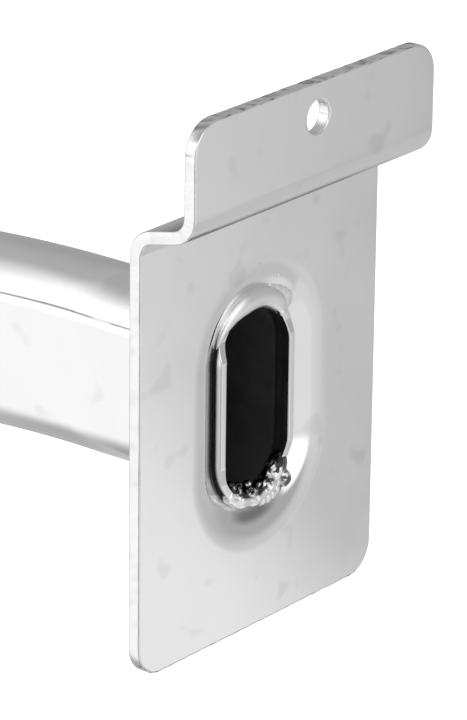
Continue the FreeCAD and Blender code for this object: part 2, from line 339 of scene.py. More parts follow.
sheet_chrome = chrome_finish("sheet_chrome", tone=0.84, gloss=0.06, ripple_scale=60, ripple=0.01 * MM,
                             speck_size=0.035, stained_and_shaded=True)
edge_chrome = chrome_finish("sheared_edge_chrome", tone=0.84, gloss=0.12, ripple_scale=1500,
                            ripple=0.03 * MM, stained_and_shaded=True)
tube_chrome = chrome_finish("drawn_tube_chrome", tone=0.84, gloss=0.05, ripple_scale=60, ripple=0.01 * MM)
smooth_weld_chrome = chrome_finish("smooth_weld_chrome", tone=0.88, gloss=0.26, ripple_scale=400,
                                   ripple=0.02 * MM)
rough_weld_chrome = chrome_finish("rough_weld_chrome", tone=0.92, gloss=0.16, ripple_scale=1200,
                                  ripple=0.03 * MM, pitted=True)
shaded_bare_steel = bare_finish("shaded_bare_steel")

# Places of the finishes in the bracket's list
PLATED_FACE = 0
PLATED_EDGE = 1
BARE = 2
BRACKET_FINISHES = (sheet_chrome, edge_chrome, shaded_bare_steel)


# Closed skins made of rings of points
class Skin:
    """Collects rings of points and the strips of faces between them."""

    def __init__(self, middle):
        self.middle = middle
        self.mesh = bmesh.new()
        self.stain_and_shade = self.mesh.verts.layers.float.new("stain_and_shade")

    def ring(self, points, stain_and_shade=0.0):
        dots = [self.mesh.verts.new(point) for point in points]
        stains = stain_and_shade if isinstance(stain_and_shade, list) else [stain_and_shade] * len(dots)
        for dot, stain_and_shade_level in zip(dots, stains):
            dot[self.stain_and_shade] = stain_and_shade_level
        return dots

    def sheet_ring(self, points, off, stain_and_shade=0.0):
        """Points of the flat strip where they stand on the folded bracket."""
        shift = Vector((self.middle, 0, 0))
        return self.ring([folded(across, along, off) + shift for across, along in points], stain_and_shade)

    def bridge(self, one, other, closed=True, finish=PLATED_FACE):
        count = len(one)
        for index in range(count if closed else count - 1):
            after = (index + 1) % count
            face = self.mesh.faces.new((one[index], one[after], other[after], other[index]))
            face.material_index = finish
            face.smooth = True

    def loft(self, rings, closed=True, finish=PLATED_FACE):
        for one, other in zip(rings, rings[1:]):
            self.bridge(one, other, closed, finish)

    def done(self, name):
        bmesh.ops.remove_doubles(self.mesh, verts=self.mesh.verts, dist=SAME_POINT)
        bmesh.ops.recalc_face_normals(self.mesh, faces=self.mesh.faces)
        data = bpy.data.meshes.new(name)
        self.mesh.to_mesh(data)
        self.mesh.free()
        for finish in BRACKET_FINISHES:
            data.materials.append(finish)
        return new_object(name, data)


def evenly(start, end, count):
    """Count + 1 values from start to end."""
    return [start + (end - start) * index / count for index in range(count + 1)]


def clamped(value):
    return min(max(value, 0.0), 1.0)


def rounded_run(corners, support):
    """An open outline with its inner corners rounded: corners are (across, up, radius, steps).
    Extra points stand close to each round so that the flats beside it stay flat to the eye."""
    points = [Vector(corners[0][:2])]
    for before, here, after in zip(corners, corners[1:], corners[2:]):
        spot = Vector(here[:2])
        radius, steps = here[2:]
        way_in = (spot - Vector(before[:2])).normalized()
        way_out = (Vector(after[:2]) - spot).normalized()
        turn = atan2(way_in.cross(way_out), way_in.dot(way_out))
        reach = radius * tan(abs(turn) / 2)
        side = Vector((-way_in.y, way_in.x)) * (1 if turn > 0 else -1)
        first = spot - way_in * reach
        centre = first + side * radius
        if (first - points[-1]).length > 3 * support:
            points.append(first - way_in * support)
        for step in range(steps + 1):
            spoke = Matrix.Rotation(turn * step / steps, 2) @ -side
            points.append(centre + spoke * radius)
        if (Vector(after[:2]) - points[-1]).length > 3 * support:
            points.append(points[-1] + way_out * support)
    points.append(Vector(corners[-1][:2]))
    return points


def filled_in(points, longest):
    """Adds points so that no step is longer than this."""
    full = [points[0]]
    for one, other in zip(points, points[1:]):
        count = max(1, round((other - one).length / longest))
        full += [one.lerp(other, share) for share in evenly(0, 1, count)[1:]]
    return full


# The bracket as a flat strip that is folded: along is measured up the middle of the sheet
MIDDLE = SHEET / 2
BEND = FOLD_RADIUS + MIDDLE
RUN = (LIP - 2 * BEND * (1 - cos(FOLD_TURN))) / sin(FOLD_TURN)
LOW_END = PLATE_RISE + BEND * FOLD_TURN
HIGH_START = LOW_END + RUN
HIGH_END = HIGH_START + BEND * FOLD_TURN
HIGH_CENTRE = Vector((
    LIP - FOLD_RADIUS - SHEET,
    PLATE_RISE + 2 * BEND * sin(FOLD_TURN) + RUN * cos(FOLD_TURN),
))
FLAT_TOP = HIGH_END + TONGUE_TOP - HIGH_CENTRE.y
HOLE_ALONG = FLAT_TOP - HOLE_BELOW_TOP


def folded(across, along, off):
    """A point of the folded sheet; off is how far it stands behind the middle of the sheet."""
    if along <= PLATE_RISE:
        return Vector((across, off - MIDDLE, along))
    if along <= LOW_END:
        angle = (along - PLATE_RISE) / BEND
        reach = BEND - off
        return Vector((across, FOLD_RADIUS - reach * cos(angle), PLATE_RISE + reach * sin(angle)))
    if along <= HIGH_START:
        base = folded(across, LOW_END, off)
        run = along - LOW_END
        return base + Vector((0, run * sin(FOLD_TURN), run * cos(FOLD_TURN)))
    if along <= HIGH_END:
        angle = FOLD_TURN - (along - HIGH_START) / BEND
        reach = BEND + off
        return Vector((across, HIGH_CENTRE.x + reach * cos(angle), HIGH_CENTRE.y - reach * sin(angle)))
    return Vector((across, LIP - MIDDLE + off, HIGH_CENTRE.y + along - HIGH_END))


# How finely the strip is divided. Places across it mix even shares with cubed ones.
SEAM_STEPS = 56
SEAM_EVEN = 0.62
SEAM_CUBED = 0.38
SEAM_FIT = 0.95
CORNER_STEPS = 10
EDGE_STEPS = 4
EDGE_GUARD = 0.15 * MM
PLATE_STEPS = 22
STRAIGHT_STEPS = 14
TONGUE_STEPS = 10
FOLD_STEPS = 20
FOLD_GUARD = 0.3 * MM
PLATE_STOPS = (evenly(PLATE_RISE, HALF_STRAIGHT, PLATE_STEPS)
               + evenly(HALF_STRAIGHT, -HALF_STRAIGHT, STRAIGHT_STEPS)[1:]
               + evenly(-HALF_STRAIGHT, PLATE_FOOT + CORNER, PLATE_STEPS)[1:])
TONGUE_STOPS = evenly(HIGH_END, FLAT_TOP - CORNER, TONGUE_STEPS)
FOLD_STOPS = (evenly(PLATE_RISE, LOW_END, FOLD_STEPS)
              + [LOW_END + FOLD_GUARD, HIGH_START - FOLD_GUARD]
              + evenly(HIGH_START, HIGH_END, FOLD_STEPS))

# Where the rings between a hole and the outline stand, as shares of the way out
FLAT_SHARES = (0, 0.06, 0.18, 0.3, 0.42, 0.54, 0.66, 0.78, 0.88, 0.96, 1)
TONGUE_SHARES = (0, 0.012, 0.04, 0.2, 0.4, 0.6, 0.8, 0.92, 1)


def seam_across(inset):
    """Places across the sheet, closer together near its middle."""
    limit = HALF_WIDTH - EDGE_ROUND - EDGE_GUARD
    shares = evenly(-1, 1, SEAM_STEPS)[1:-1]
    inner = [limit * (SEAM_EVEN * share + SEAM_CUBED * share ** 3) / SEAM_FIT for share in shares]
    inner[0] = -limit
    inner[-1] = limit
    return [inset - HALF_WIDTH] + inner + [HALF_WIDTH - inset]


def end_outline(seam, far, side_stops, inset):
    """Round one end of the strip: along the seam, up one side, across the far end, down the other side."""
    way = 1 if far > seam else -1
    wide = HALF_WIDTH - inset
    corner_across = HALF_WIDTH - CORNER
    corner_along = far - way * CORNER
    reach = CORNER - inset
    turns = [radians(90) * step / CORNER_STEPS for step in range(1, CORNER_STEPS)]
    loop = [(across, seam) for across in seam_across(inset)]
    loop += [(wide, along) for along in side_stops[1:]]
    loop += [(corner_across + reach * cos(turn), corner_along + way * reach * sin(turn)) for turn in turns]
    loop += [(across, far - way * inset) for across in evenly(corner_across, -corner_across, SEAM_STEPS)]
    loop += [(-corner_across - reach * sin(turn), corner_along + way * reach * cos(turn)) for turn in turns]
    loop += [(-wide, along) for along in reversed(side_stops[1:])]
    return loop


def plate_outline(inset):
    return end_outline(PLATE_RISE, PLATE_FOOT, PLATE_STOPS, inset)


def tongue_outline(inset):
    return end_outline(HIGH_END, FLAT_TOP, TONGUE_STOPS, inset)


def strip_outline(inset):
    """The whole flat strip's edge, once round."""
    wide = HALF_WIDTH - inset
    plate = plate_outline(inset)[SEAM_STEPS:] + [(-wide, PLATE_RISE)]
    tongue = list(reversed(tongue_outline(inset)[SEAM_STEPS + 1:]))
    rising = [(-wide, along) for along in FOLD_STOPS[1:-1]]
    falling = [(wide, along) for along in reversed(FOLD_STOPS[1:-1])]
    return plate + rising + [(-wide, HIGH_END)] + tongue + [(wide, HIGH_END)] + falling


def edge_section():
    """Rounded edge of the sheet: (inset, off) from the back face to the front face."""
    turns = evenly(0, pi / 2, EDGE_STEPS)
    back = [(EDGE_ROUND * (1 - sin(turn)), MIDDLE - EDGE_ROUND * (1 - cos(turn))) for turn in turns]
    front = [(inset, -off) for inset, off in reversed(back)]
    return back + front


def slot_spoke(across, along):
    """The nearest point of the slot's middle line, and the way from there."""
    core = Vector((0, max(-HALF_STRAIGHT, min(HALF_STRAIGHT, along))))
    return core, (Vector((across, along)) - core).normalized()


SECTION_GUARD = 0.12 * MM
SECTION_LONGEST = 0.3 * MM


def slot_section():
    """From the plate's back down the dish, over the collar, through the slot and out along the front."""
    half_slope = atan(DISH_DEPTH / (RIM_RADIUS - FLOOR_RADIUS)) / 2
    shift = SHEET * tan(half_slope)
    corners = [
        (FLAT_RADIUS, 0, 0, 0),
        (RIM_RADIUS, 0, RIM_ROUND, 14),
        (FLOOR_RADIUS, -DISH_DEPTH, FLOOR_ROUND, 8),
        (COLLAR_RADIUS, -DISH_DEPTH, COLLAR_FOOT, 6),
        (COLLAR_RADIUS, COLLAR_TOP, COLLAR_LIP, 6),
        (LIP_RADIUS, COLLAR_TOP, COLLAR_LIP, 6),
        (LIP_RADIUS, COLLAR_TOP - LIP_DEPTH, COLLAR_LIP, 4),
        (SLOT_RADIUS, COLLAR_TOP - LIP_SLOPE_END, COLLAR_LIP, 4),
        (SLOT_RADIUS, BUMP_FRONT, COLLAR_LIP, 4),
        (FLOOR_RADIUS + shift, BUMP_FRONT, BUMP_ROUND, 12),
        (RIM_RADIUS + shift, -SHEET, FLOOR_ROUND, 8),
        (FLAT_RADIUS, -SHEET, 0, 0),
    ]
    return filled_in(rounded_run(corners, SECTION_GUARD), SECTION_LONGEST)


# Wear and painted shade of the bracket: nicks in its edge, and a stain-and-shade level from 0 for bright
# plating to 1, which is painted shade at the collar's foot, under the bottom weld and in the upper fold, and
# worn plating on the sheared edge
# Painted shade in the corner at the collar's foot
COLLAR_SHADE_FLOOR = 0.4 * MM
COLLAR_SHADE_FADE = 0.5 * MM
# Painted shade on the dish's slope below the bottom weld
WELD_SHADE_RADIUS = 10.5 * MM
WELD_SHADE_REACH = 1.3 * MM
WELD_SHADE_MOST = 0.6
WELD_SHADE_EDGE = 1.5
WELD_SHADE_UNDER = 0.86
UNDER_FADE = 0.12
NICK = 0.14 * MM
NICKED_INSET = 0.9 * EDGE_ROUND
NICK_SIZE = 1.1 * MM
NICK_STRETCH = 4
NICK_MIDDLE = 0.5
NICK_SWING = 0.75
SIDE_NICKS = 0.25
GRIME_SHIFT = 9 * MM
GRIME_STRETCH = 1.3
GRIME_FROM = 0.6
GRIME_FADE = 0.25
END_GRIME = 0.75
SIDE_GRIME = 0.1
# Painted shade along the crease of the upper fold
CREASE_FROM = radians(34)
CREASE_FADE = radians(12)
CREASE_MOST = 0.85
CREASE_GONE = -26 * MM
CREASE_RUN = 18 * MM
# Painted shade in the hollow of the upper fold
NOOK_HIGH = 1.6 * MM
NOOK_INSET = 2.5 * MM
NOOK_WIDE = 4 * MM
NOOK_MOST = 0.7
NOOK_EDGE = 2


def collar_foot_shade_at(spot):
    """Painted shade in the corner at the collar's foot."""
    if spot.y < -SHEET or spot.x < COLLAR_RADIUS - COLLAR_LIP:
        return 0.0
    out = (spot.x - COLLAR_RADIUS - COLLAR_SHADE_FLOOR) / COLLAR_SHADE_FADE
    up = (spot.y + DISH_DEPTH) / COLLAR_SHADE_FADE
    share = max(out, up if spot.x < COLLAR_RADIUS + COLLAR_FOOT / 2 else out, 0.0)
    return max(0.0, 1.0 - share)


def under_weld_shade_at(radius, depth, core, way):
    """Painted shade on the dish's slope below the bottom weld, a painted reflection of the weld's dark
    underside.
    """
    if core.y > 0 or depth < -SHEET:
        return 0.0
    band = 1.0 - abs(radius - WELD_SHADE_RADIUS) / WELD_SHADE_REACH
    under = (-way.y - WELD_SHADE_UNDER) / UNDER_FADE
    return WELD_SHADE_MOST * clamped(band * WELD_SHADE_EDGE) * clamped(under)


def uneven(across, along, off):
    """Unevenness of the sheared edge at a place, from 0 to 1."""
    place = Vector((across, along, off * NICK_STRETCH)) / NICK_SIZE
    return clamped(NICK_MIDDLE + NICK_SWING * noise.noise(place))


def at_end(along):
    """The two short ends of the strip were sheared more roughly than its long sides."""
    return along > FLAT_TOP - CORNER / 2 or along < PLATE_FOOT + CORNER / 2


def worn_outline(inset, off):
    """The strip's edge, nicked here and there where it was sheared."""
    outer = strip_outline(inset)
    if inset > NICKED_INSET:
        return outer
    worn = []
    for one, other in zip(outer, strip_outline(inset + NICK)):
        share = uneven(*one, off) ** 2 * (1.0 if at_end(one[1]) else SIDE_NICKS)
        worn.append(Vector(one).lerp(Vector(other), share))
    return worn


def edge_grime(inset, off):
    """Dull spots where the plating is thin on the torn part of the sheared edge."""
    grime = []
    for across, along in strip_outline(inset):
        spot = uneven(across + GRIME_SHIFT, along * GRIME_STRETCH, off)
        most = END_GRIME if at_end(along) else SIDE_GRIME
        grime.append(clamped((spot - GRIME_FROM) / GRIME_FADE) * most)
    return grime


def crease_shade(across, along):
    """Painted shade line low on the outside of the upper fold, fainter towards -X."""
    if along < HIGH_START:
        return 0.0
    turn = FOLD_TURN - (along - HIGH_START) / BEND
    line = clamped((turn - CREASE_FROM) / CREASE_FADE)
    return CREASE_MOST * line * clamped((across - CREASE_GONE) / CREASE_RUN)


def nook_shade(across, along):
    """Painted shade patch in the hollow of the upper fold, on its room side and near its +X end."""
    along_share = 1.0 - abs(along - HIGH_START) / NOOK_HIGH
    across_share = 1.0 - abs(across - HALF_WIDTH + NOOK_INSET) / NOOK_WIDE
    return NOOK_MOST * clamped(min(along_share, across_share) * NOOK_EDGE)


# Parts of the bracket's skin
def slot_ring(skin, spokes, radius, depth, stain_and_shade):
    """A ring round the slot, lower where the collar is melted down under a weld."""
    points = []
    for core, way in spokes:
        spot = core + way * radius
        sunk = depth
        if radius < FLOOR_RADIUS and depth > -DISH_DEPTH:
            deep = clamped(spot.x / DEEP_FROM) if spot.y > 0 else 0
            melted = clamped((abs(spot.y) - MELT_START) / MELT_RUN)
            melted *= MELT_SHARE + (DEEP_MELT - MELT_SHARE) * deep
            sunk = -DISH_DEPTH + (depth + DISH_DEPTH) * (1 - melted)
        points.append(Vector((skin.middle + spot.x, sunk, spot.y)))
    return skin.ring(points, stain_and_shade)


def add_flat(skin, off, near, outline, shares):
    """A flat of the sheet: rings from a hole out to a guard line close to the outline, and the outline."""
    guard = outline(EDGE_ROUND + EDGE_GUARD)
    rings = [[Vector(start).lerp(Vector(end), share) for start, end in zip(near, guard)] for share in shares]
    rings.append([Vector(spot) for spot in outline(EDGE_ROUND)])
    skin.loft([skin.sheet_ring(points, off) for points in rings])


def hole_ring(radius):
    """Points round the tongue's hole, one for each point of the tongue's outline."""
    hole = Vector((0, HOLE_ALONG))
    return [hole + (Vector(spot) - hole).normalized() * radius for spot in tongue_outline(EDGE_ROUND)]


def add_dish(skin, spokes):
    """Dish, collar and slot."""
    section = slot_section()
    rings = []
    for spot in section:
        # Painted shade at the collar's foot and on the slope under the bottom weld
        stain_and_shade_level = [max(collar_foot_shade_at(spot), under_weld_shade_at(spot.x, spot.y, *spoke)) for spoke in spokes]
        rings.append(slot_ring(skin, spokes, spot.x, spot.y, stain_and_shade_level))
    for one, other, start, end in zip(rings, rings[1:], section, section[1:]):
        bare = max(start.x, end.x) < BARE_RADIUS and max(start.y, end.y) < BARE_BELOW
        skin.bridge(one, other, finish=BARE if bare else PLATED_FACE)


def add_face(skin, spokes, off):
    """One face of the sheet: round the dish, over both folds and round the tongue's hole."""
    near = [core + way * FLAT_RADIUS for core, way in spokes]
    add_flat(skin, off, near, plate_outline, FLAT_SHARES)
    # Painted shade along the upper fold: a line on its outside, and a patch in its hollow on the room side
    fold_shade_at = crease_shade if off > 0 else nook_shade
    rows = []
    for along in FOLD_STOPS:
        points = [(across, along) for across in seam_across(EDGE_ROUND)]
        rows.append(skin.sheet_ring(points, off, [fold_shade_at(*point) for point in points]))
    skin.loft(rows, closed=False)
    add_flat(skin, off, hole_ring(HOLE_RADIUS + EDGE_ROUND), tongue_outline, TONGUE_SHARES)


def add_edges(skin):
    """Outer edge of the sheet, and the hole's wall."""
    edge = edge_section()
    rim = [skin.sheet_ring(worn_outline(*spot), spot[1], edge_grime(*spot)) for spot in edge]
    wall = [skin.sheet_ring(hole_ring(HOLE_RADIUS + inset), off) for inset, off in edge]
    for rings in (rim, wall):
        skin.loft(rings, finish=PLATED_EDGE)


def build_bracket(name, middle):
    skin = Skin(middle)
    spokes = [slot_spoke(*spot) for spot in plate_outline(0)]
    add_dish(skin, spokes)
    for off in (MIDDLE, -MIDDLE):
        add_face(skin, spokes, off)
    add_edges(skin)
    return skin.done(name)


# Geometry trees
SOCKETS = {float: "NodeSocketFloat", int: "NodeSocketInt"}


def new_tree(name, inputs):
    """A tree with named inputs: {name: value, or the kind of socket for an object or a material}."""
    tree = bpy.data.node_groups.new(name, "GeometryNodeTree")
    tree.interface.new_socket("Geometry", in_out="INPUT", socket_type="NodeSocketGeometry")
    tree.interface.new_socket("Geometry", in_out="OUTPUT", socket_type="NodeSocketGeometry")
    for label, value in inputs.items():
        kind = SOCKETS.get(type(value), value)
        socket = tree.interface.new_socket(label, in_out="INPUT", socket_type=kind)
        if kind != value:
            socket.default_value = value
    wires = Wiring(tree)
    return wires, wires.add("NodeGroupInput").outputs


def painted(wires, geometry, material):
    """Real geometry with its finish set, as every tree ends."""
    real = wires.out("GeometryNodeRealizeInstances", {"Geometry": geometry})
    return wires.out("GeometryNodeSetMaterial", {"Geometry": real, "Material": material})


def grow(name, tree, values, host_mesh):
    """Runs a tree on a host mesh with these input values and returns the plain piece."""
    host = new_object(name + "_host", host_mesh)
    run = host.modifiers.new("grow", "NODES")
    run.node_group = tree
    for item in tree.interface.items_tree:
        if item.in_out == "INPUT" and item.name in values:
            run[item.identifier] = values[item.name]
    graph = bpy.context.evaluated_depsgraph_get()
    data = bpy.data.meshes.new_from_object(host.evaluated_get(graph), depsgraph=graph)
    host.modifiers.remove(run)
    bpy.data.objects.remove(host)
    data.name = name
    return new_object(name, data)


def opened(piece):
    """A piece's mesh to work on, with its doubled points merged and its faces turned outwards."""
    work = bmesh.new()
    work.from_mesh(piece.data)
    bmesh.ops.remove_doubles(work, verts=work.verts, dist=SAME_POINT)
    bmesh.ops.recalc_face_normals(work, faces=work.faces)
    return work


def give_back(work, piece):
    """Shades every face smooth and gives the mesh to its piece."""
    for face in work.faces:
        face.smooth = True
    work.to_mesh(piece.data)
    work.free()


# The tube: its section swept along a path whose corners are rounded to the bend radii
OVAL_SIDE_STEPS = 6
OVAL_ROUND_STEPS = 48
OVAL_GUARD = 0.4 * MM
FRONT_CORNER = 2.0
SAME_PATH_POINT = 0.01 * MM
TUBE_SIZES = {"Side radius": SIDE_RADIUS, "Front radius": FRONT_RADIUS, "Side steps": 30, "Front steps": 90}


def path_mesh():
    """Corner points of the tube's path, in plan."""
    lean = SIDE_RADIUS * tan(SIDE_TURN / 2)
    side_corner = BOW_INSET - LEG_STRAIGHT - lean
    front_corner = side_corner - HALF_SPACING / tan(SIDE_TURN)
    points = [
        (-HALF_SPACING, -TUBE_END, 0),
        (-HALF_SPACING, side_corner, 0),
        (0, front_corner, 0),
        (HALF_SPACING, side_corner, 0),
        (HALF_SPACING, -TUBE_END, 0),
    ]
    data = bpy.data.meshes.new("tube_path")
    data.from_pydata(points, [(index, index + 1) for index in range(len(points) - 1)], [])
    return data


def section_object(name, radius):
    """A flat-sided oval as a loop of edges, with extra points beside the rounds."""
    side = evenly(-HALF_STRAIGHT, HALF_STRAIGHT, OVAL_SIDE_STEPS)
    side = [side[0], side[0] + OVAL_GUARD] + side[1:-1] + [side[-1] - OVAL_GUARD]
    turns = evenly(0, pi, OVAL_ROUND_STEPS)[:-1]
    points = [(radius, up, 0) for up in side]
    points += [(radius * cos(turn), HALF_STRAIGHT + radius * sin(turn), 0) for turn in turns]
    points += [(-radius, -up, 0) for up in side]
    points += [(-radius * cos(turn), -HALF_STRAIGHT - radius * sin(turn), 0) for turn in turns]
    count = len(points)
    data = bpy.data.meshes.new(name)
    data.from_pydata(points, [(index, (index + 1) % count) for index in range(count)], [])
    return bpy.data.objects.new(name, data)


def tube_tree():
    inputs = dict(TUBE_SIZES, Outside="NodeSocketObject", Bore="NodeSocketObject")
    wires, given = new_tree("swept_tube", inputs)
    path = wires.out("GeometryNodeMeshToCurve", {"Mesh": given["Geometry"]})
    index = wires.out("GeometryNodeInputIndex")
    in_front = wires.math("COMPARE", index, FRONT_CORNER, 0.1)
    radius = wires.mix(in_front, given["Side radius"], given["Front radius"])
    steps = wires.mix(in_front, given["Side steps"], given["Front steps"])
    inputs = {"Curve": path, "Radius": radius, "Count": steps}
    bent = wires.out("GeometryNodeFilletCurve", inputs, mode="POLY")
    # Two bends meet in one point, which both of them have drawn
    chain = wires.out("GeometryNodeCurveToMesh", {"Curve": bent})
    inputs = {"Geometry": chain, "Distance": SAME_PATH_POINT}
    chain = wires.out("GeometryNodeMergeByDistance", inputs)
    smooth_path = wires.out("GeometryNodeMeshToCurve", {"Mesh": chain})
    upright = wires.out("GeometryNodeSetCurveNormal", {"Curve": smooth_path}, mode="Z_UP")
    joined = wires.add("GeometryNodeJoinGeometry")
    for label, finish in (("Outside", tube_chrome), ("Bore", shaded_bare_steel)):
        loop = wires.add("GeometryNodeObjectInfo", {"Object": given[label]}).outputs["Geometry"]
        loop = wires.out("GeometryNodeMeshToCurve", {"Mesh": loop})
        swept = wires.out("GeometryNodeCurveToMesh", {"Curve": upright, "Profile Curve": loop})
        wires.link(painted(wires, swept, finish), joined.inputs[0])
    wires.add("NodeGroupOutput", {"Geometry": joined.outputs[0]})
    return wires.tree


def close_tube(piece):
    """Turns the bore's faces towards its middle, and joins the outside to the bore at both ends."""
    work = opened(piece)
    bore = [face for face in work.faces if piece.data.materials[face.material_index] == shaded_bare_steel]
    bmesh.ops.reverse_faces(work, faces=bore)
    for side in (-1, 1):
        rims = [edge for edge in work.edges if edge.is_boundary and edge.verts[0].co.x * side > 0]
        bmesh.ops.bridge_loops(work, edges=rims)
    bmesh.ops.recalc_face_normals(work, faces=work.faces)
    give_back(work, piece)


def build_tube(name):
    outside = section_object("tube_outside", TUBE_WIDE / 2)
    bore = section_object("tube_bore", TUBE_WIDE / 2 - TUBE_WALL)
    values = dict(TUBE_SIZES, Outside=outside, Bore=bore)
    piece = grow(name, tube_tree(), values, path_mesh())
    bpy.data.objects.remove(outside)
    bpy.data.objects.remove(bore)
    close_tube(piece)
    return piece


# Welds: a flattened bead along the slot's end, with nuggets of metal on it
ARC_STEPS = 220
SECTION_STEPS = 64
THINNEST = 0.0004
GROWN_BY = 0.45
BALL_LEVEL = 5
SEED_STEP = 7.3
GRAIN_DETAIL = 3.0
GRAIN_ROUGH = 0.55
PIT_RANGE = (0.1, 0.6)
SMOOTH_FADE = 0.6 * MM
SMOOTH_SHARE = 0.15
SIDE_SHARE = 0.7


def bead_arc(wires, given):
    """The bead's arc round the slot's end, and its thickness along it."""
    start = wires.math("MULTIPLY_ADD", given["Turn"], -0.5, pi / 2)
    start = wires.math("ADD", start, given["Lean"])
    inputs = {"Resolution": ARC_STEPS, "Radius": given["Ring"], "Start Angle": start,
              "Sweep Angle": given["Turn"]}
    arc = wires.out("GeometryNodeCurveArc", inputs, mode="RADIUS")
    arc = wires.out("GeometryNodeSetCurveNormal", {"Curve": arc}, mode="Z_UP")
    share = wires.add("GeometryNodeSplineParameter").outputs["Factor"]
    ends = wires.math("ABSOLUTE", wires.math("MULTIPLY_ADD", share, 2.0, -1.0))
    ends = wires.math("POWER", ends, given["Bluntness"])
    taper = wires.math("SQRT", wires.math("MAXIMUM", wires.math("SUBTRACT", 1.0, ends), THINNEST))
    wave = wires.math("SINE", wires.times(share, wires.times(given["Ripples"], 2 * pi)))
    thick = wires.times(taper, wires.math("MULTIPLY_ADD", wave, given["Swell"], 1.0))
    thick = wires.times(thick, wires.span(share, 0.0, GROWN_BY, given["Start size"], 1.0))
    thick = wires.times(thick, wires.span(share, 1.0 - GROWN_BY, 1.0, 1.0, given["End size"]))
    return arc, thick


def bead_section(wires, given):
    """A squared oval."""
    loop = wires.out("GeometryNodeCurvePrimitiveCircle", {"Resolution": SECTION_STEPS, "Radius": 1.0})
    spot = wires.parts(wires.out("GeometryNodeInputPosition"))
    power = given["Squareness"]
    powers = [wires.math("POWER", wires.math("ABSOLUTE", spot[axis]), power) for axis in (0, 1)]
    root = wires.math("DIVIDE", -1.0, power)
    grow_by = wires.math("POWER", wires.math("ADD", *powers), root)
    across = wires.times(wires.times(spot[0], grow_by), given["Half width"])
    deep = wires.times(wires.times(spot[1], grow_by), given["Half depth"])
    squared = wires.out("ShaderNodeCombineXYZ", {0: across, 1: deep})
    return wires.out("GeometryNodeSetPosition", {"Geometry": loop, "Position": squared})


def nuggets_on_host(wires, given):
    """One nugget on each point of the host, as large as the point's size."""
    ball = wires.add("GeometryNodeMeshIcoSphere", {"Radius": 1.0, "Subdivisions": BALL_LEVEL})
    size = wires.out("GeometryNodeInputNamedAttribute", {"Name": "size"}, data_type="FLOAT")
    high = wires.times(size, given["Nugget height"])
    scale = wires.out("ShaderNodeCombineXYZ", {0: size, 1: size, 2: high})
    inputs = {"Points": given["Geometry"], "Instance": ball.outputs["Mesh"], "Scale": scale}
    nuggets = wires.out("GeometryNodeInstanceOnPoints", inputs)
    return wires.out("GeometryNodeRealizeInstances", {"Geometry": nuggets})


def roughened(wires, given, geometry):
    """Rough skin with pits, smoother away from the slot."""
    place = wires.out("GeometryNodeInputPosition")
    seed = wires.times(given["Seed"], SEED_STEP)
    inputs = {"Vector": place, "W": seed, "Scale": given["Grain"], "Detail": GRAIN_DETAIL,
              "Roughness": GRAIN_ROUGH}
    grain = wires.out("ShaderNodeTexNoise", inputs, noise_dimensions="4D")
    push = wires.times(wires.math("SUBTRACT", grain, 0.5), given["Rough"])
    inputs = {"Vector": place, "W": seed, "Scale": given["Pit scale"]}
    cells = wires.add("ShaderNodeTexVoronoi", inputs, voronoi_dimensions="4D").outputs["Distance"]
    push = wires.math("SUBTRACT", push, wires.times(wires.span(cells, *PIT_RANGE, 1.0, 0.0), given["Pits"]))
    flat_place = wires.out("ShaderNodeVectorMath", {0: place, 1: (1.0, 1.0, 0.0)}, operation="MULTIPLY")
    out = wires.add("ShaderNodeVectorMath", {0: flat_place}, operation="LENGTH").outputs["Value"]
    across = wires.parts(place)[0]
    inner = wires.span(out, SMOOTH_FROM, SMOOTH_FROM + SMOOTH_FADE, 1.0, SMOOTH_SHARE)
    aside = wires.span(across, -ROUGH_SIDE - SIDE_FADE, -ROUGH_SIDE, SIDE_SHARE, 0.0)
    push = wires.times(push, wires.math("MAXIMUM", inner, aside))
    facing = wires.out("GeometryNodeInputNormal")
    push = wires.out("ShaderNodeVectorMath", {0: facing, "Scale": push}, operation="SCALE")
    return wires.out("GeometryNodeSetPosition", {"Geometry": geometry, "Offset": push})


def weld_tree():
    wires, given = new_tree("weld_bead", {
        "Ring": 8 * MM, "Turn": 2.0, "Lean": 0.0,
        "Half width": 1.5 * MM, "Half depth": 1 * MM, "Squareness": 2.2,
        "Start size": 1.0, "End size": 1.0, "Bluntness": 9.0, "Ripples": 6.0, "Swell": 0.1,
        "Nugget height": 1.0,
        "Rough": 0.1 * MM, "Grain": 400.0, "Pits": 0.0, "Pit scale": 1000.0, "Seed": 1,
        "Finish": "NodeSocketMaterial",
    })
    arc, thick = bead_arc(wires, given)
    inputs = {"Curve": arc, "Profile Curve": bead_section(wires, given), "Scale": thick, "Fill Caps": True}
    bead = wires.out("GeometryNodeCurveToMesh", inputs)
    joined = wires.add("GeometryNodeJoinGeometry", {"Geometry": bead})
    wires.link(nuggets_on_host(wires, given), joined.inputs[0])
    skin = roughened(wires, given, joined.outputs[0])
    smooth = wires.out("GeometryNodeSetShadeSmooth", {"Geometry": skin})
    wires.add("NodeGroupOutput", {"Geometry": painted(wires, smooth, given["Finish"])})
    return wires.tree


WELD_DEPTH = 1.85 * MM
FIRST_SEED = 3
TOP_WELD = {
    "Ring": 8.5 * MM, "Turn": radians(132), "Lean": radians(6),
    "Half width": 1.8 * MM, "Half depth": 1.6 * MM,
    "End size": 0.4, "Bluntness": 4.0, "Ripples": 2.5, "Swell": 0.03,
    "Nugget height": 0.6,
    "Rough": 0.12 * MM, "Grain": 250.0,
    "Finish": smooth_weld_chrome,
}
BOTTOM_WELD = {
    "Ring": 8.0 * MM, "Turn": radians(120), "Lean": radians(10),
    "Half width": 1.5 * MM, "Half depth": 1.5 * MM,
    "Start size": 0.85, "Ripples": 5.0, "Swell": 0.08,
    "Rough": 0.5 * MM, "Grain": 1100.0, "Pits": 0.4 * MM, "Pit scale": 700.0,
    "Finish": rough_weld_chrome,
}

